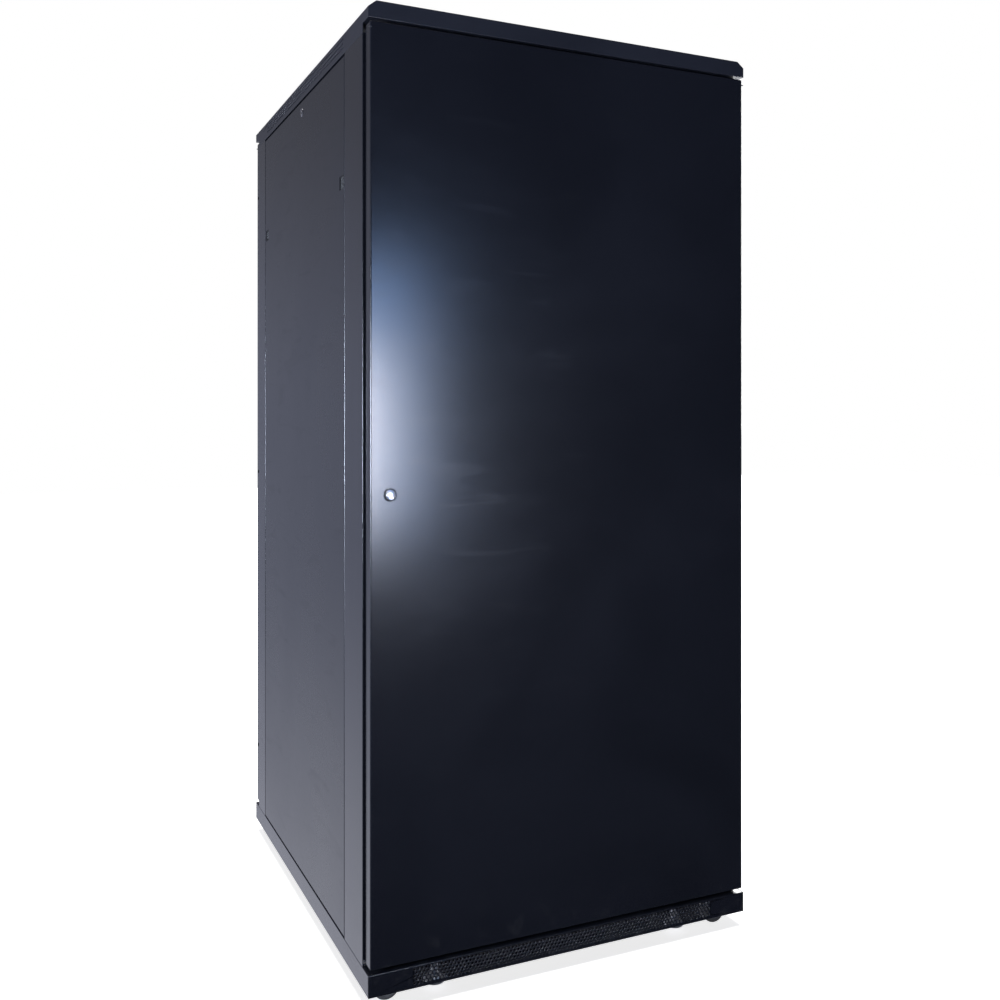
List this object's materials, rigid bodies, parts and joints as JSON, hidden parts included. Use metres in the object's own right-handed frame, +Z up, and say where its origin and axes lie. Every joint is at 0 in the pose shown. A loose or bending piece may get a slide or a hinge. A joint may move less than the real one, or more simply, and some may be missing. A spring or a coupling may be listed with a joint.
{
  "type": "network server rack cabinet",
  "caption": "Floor-standing 19-inch equipment cabinet with a solid rear door, glazed front door, lift-off side panels, vented roof and plinth, on castors.",
  "frame": {"origin": "on the floor, under the middle of the cabinet", "axes": "+Z up, front glazed door faces -Y, solid rear door faces +Y, X is the 800 mm width"},
  "size_m": [0.803, 1.005, 1.79],
  "materials": {
    "powder_coat": "black semi-gloss powder coat, fine orange peel",
    "door_coat": "black semi-gloss powder coat, fine orange peel",
    "panel_coat": "black semi-gloss powder coat, fine orange peel",
    "cover_coat": "black semi-gloss powder coat, fine orange peel",
    "rail_coat": "black satin powder coat",
    "tinted_glass": "grey tinted toughened glass",
    "lock_chrome": "bright nickel chrome",
    "zinc_steel": "bright zinc plating",
    "fan_plastic": "moulded black plastic",
    "latch_plastic": "moulded black plastic, fine grain",
    "wheel_rubber": "solid black castor tread"
  },
  "bodies": {
    "cabinet_frame": {"bottom_beams": "powder_coat", "bracket_screws": "zinc_steel", "cable_cover_guides": "powder_coat", "castor_plates": "zinc_steel", "corner_gussets": "powder_coat", "corner_posts": "powder_coat", "depth_rails": "powder_coat", "earth_stud": "zinc_steel", "fan_guards": "zinc_steel", "fan_housings": "fan_plastic", "fan_tray": "powder_coat", "floor_panel": "powder_coat", "front_mounting_rails": "rail_coat", "hinge_brackets": "powder_coat", "hinge_pins": "zinc_steel", "lock_keepers": "powder_coat", "plinth_front": "powder_coat", "plinth_rear": "powder_coat", "plinth_sides": "powder_coat", "rail_brackets": "powder_coat", "rear_mounting_rails": "rail_coat", "top_beams": "powder_coat", "top_cover": "cover_coat"},
    "rear_door": {"rear_door": "door_coat", "rear_door_stiffeners": "powder_coat", "rear_hinge_bushes": "powder_coat", "rear_lock_housing": "lock_chrome"},
    "rear_lock": {"rear_lock_plug": "lock_chrome", "rear_lock_cam": "zinc_steel"},
    "front_door": {"front_door_frame": "powder_coat", "front_door_glass": "tinted_glass", "glass_clips": "fan_plastic", "front_hinge_bushes": "powder_coat", "front_lock_housing": "lock_chrome"},
    "front_lock": {"front_lock_plug": "lock_chrome", "front_lock_cam": "zinc_steel"},
    "right_panel": {"side_panel_right": "panel_coat", "side_lock_housing_right": "lock_chrome"},
    "left_panel": {"side_panel_left": "panel_coat", "side_lock_housing_left": "lock_chrome"},
    "right_panel_lock": {"side_lock_plug_right": "lock_chrome"},
    "left_panel_lock": {"side_lock_plug_left": "lock_chrome"},
    "right_latch_rear": {"slide_latch_right_rear": "latch_plastic"},
    "right_latch_front": {"slide_latch_right_front": "latch_plastic"},
    "left_latch_rear": {"slide_latch_left_rear": "latch_plastic"},
    "left_latch_front": {"slide_latch_left_front": "latch_plastic"},
    "fan_left": {"fan_rotor_left": "fan_plastic"},
    "fan_right": {"fan_rotor_right": "fan_plastic"},
    "roof_cover_slide": {"roof_cable_cover": "powder_coat"},
    "floor_cover_slide": {"floor_cable_cover": "powder_coat"},
    "feet": {"levelling_feet": "zinc_steel"},
    "castor_rear_right": {"castor_fork_rear_right": "zinc_steel"},
    "wheel_rear_right": {"castor_wheel_rear_right": "wheel_rubber"},
    "castor_rear_left": {"castor_fork_rear_left": "zinc_steel"},
    "wheel_rear_left": {"castor_wheel_rear_left": "wheel_rubber"},
    "castor_front_right": {"castor_fork_front_right": "zinc_steel"},
    "wheel_front_right": {"castor_wheel_front_right": "wheel_rubber"},
    "castor_front_left": {"castor_fork_front_left": "zinc_steel"},
    "wheel_front_left": {"castor_wheel_front_left": "wheel_rubber"}
  },
  "joints": [
    {"name": "rear_door_hinge", "type": "hinge", "parent": "cabinet_frame", "child": "rear_door", "pos_m": [-0.388, 0.486, 0.916], "axis": [0, 0, 1], "range_deg": [0, 120]},
    {"name": "front_door_hinge", "type": "hinge", "parent": "cabinet_frame", "child": "front_door", "pos_m": [0.388, -0.486, 0.916], "axis": [0, 0, 1], "range_deg": [0, 120]},
    {"name": "rear_lock_turn", "type": "hinge", "parent": "rear_door", "child": "rear_lock", "pos_m": [0.36, 0.5, 0.916], "axis": [0, -1, 0], "range_deg": [0, 90]},
    {"name": "front_lock_turn", "type": "hinge", "parent": "front_door", "child": "front_lock", "pos_m": [-0.36, -0.5, 0.916], "axis": [0, 1, 0], "range_deg": [0, 90]},
    {"name": "right_panel_lift_off", "type": "slide", "parent": "cabinet_frame", "child": "right_panel", "axis": [1, 0, 0], "range_m": [0, 0.3]},
    {"name": "right_panel_lock_turn", "type": "hinge", "parent": "right_panel", "child": "right_panel_lock", "pos_m": [0.4, 0, 1.713], "axis": [1, 0, 0], "range_deg": [0, 90]},
    {"name": "right_latch_rear_slide", "type": "slide", "parent": "right_panel", "child": "right_latch_rear", "axis": [0, 1, 0], "range_m": [0, 0.008]},
    {"name": "right_latch_front_slide", "type": "slide", "parent": "right_panel", "child": "right_latch_front", "axis": [0, -1, 0], "range_m": [0, 0.008]},
    {"name": "left_panel_lift_off", "type": "slide", "parent": "cabinet_frame", "child": "left_panel", "axis": [-1, 0, 0], "range_m": [0, 0.3]},
    {"name": "left_panel_lock_turn", "type": "hinge", "parent": "left_panel", "child": "left_panel_lock", "pos_m": [-0.4, 0, 1.713], "axis": [1, 0, 0], "range_deg": [0, 90]},
    {"name": "left_latch_rear_slide", "type": "slide", "parent": "left_panel", "child": "left_latch_rear", "axis": [0, 1, 0], "range_m": [0, 0.008]},
    {"name": "left_latch_front_slide", "type": "slide", "parent": "left_panel", "child": "left_latch_front", "axis": [0, -1, 0], "range_m": [0, 0.008]},
    {"name": "fan_left_spin", "type": "hinge", "parent": "cabinet_frame", "child": "fan_left", "pos_m": [-0.08, 0, 1.76], "axis": [0, 0, 1], "continuous": true},
    {"name": "fan_right_spin", "type": "hinge", "parent": "cabinet_frame", "child": "fan_right", "pos_m": [0.08, 0, 1.76], "axis": [0, 0, 1], "continuous": true},
    {"name": "roof_cover_slide", "type": "slide", "parent": "cabinet_frame", "child": "roof_cover_slide", "axis": [0, 1, 0], "range_m": [0, 0.1]},
    {"name": "floor_cover_slide", "type": "slide", "parent": "cabinet_frame", "child": "floor_cover_slide", "axis": [0, 1, 0], "range_m": [0, 0.1]},
    {"name": "feet_screw_down", "type": "slide", "parent": "cabinet_frame", "child": "feet", "axis": [0, 0, -1], "range_m": [0, 0.02]},
    {"name": "castor_rear_right_swivel", "type": "hinge", "parent": "cabinet_frame", "child": "castor_rear_right", "pos_m": [0.336, 0.452, 0.05], "axis": [0, 0, 1], "continuous": true},
    {"name": "wheel_rear_right_roll", "type": "hinge", "parent": "castor_rear_right", "child": "wheel_rear_right", "pos_m": [0.354, 0.452, 0.025], "axis": [0, 1, 0], "continuous": true},
    {"name": "castor_rear_left_swivel", "type": "hinge", "parent": "cabinet_frame", "child": "castor_rear_left", "pos_m": [-0.336, 0.452, 0.05], "axis": [0, 0, 1], "continuous": true},
    {"name": "wheel_rear_left_roll", "type": "hinge", "parent": "castor_rear_left", "child": "wheel_rear_left", "pos_m": [-0.354, 0.452, 0.025], "axis": [0, 1, 0], "continuous": true},
    {"name": "castor_front_right_swivel", "type": "hinge", "parent": "cabinet_frame", "child": "castor_front_right", "pos_m": [0.336, -0.452, 0.05], "axis": [0, 0, 1], "continuous": true},
    {"name": "wheel_front_right_roll", "type": "hinge", "parent": "castor_front_right", "child": "wheel_front_right", "pos_m": [0.354, -0.452, 0.025], "axis": [0, 1, 0], "continuous": true},
    {"name": "castor_front_left_swivel", "type": "hinge", "parent": "cabinet_frame", "child": "castor_front_left", "pos_m": [-0.336, -0.452, 0.05], "axis": [0, 0, 1], "continuous": true},
    {"name": "wheel_front_left_roll", "type": "hinge", "parent": "castor_front_left", "child": "wheel_front_left", "pos_m": [-0.354, -0.452, 0.025], "axis": [0, 1, 0], "continuous": true}
  ]
}
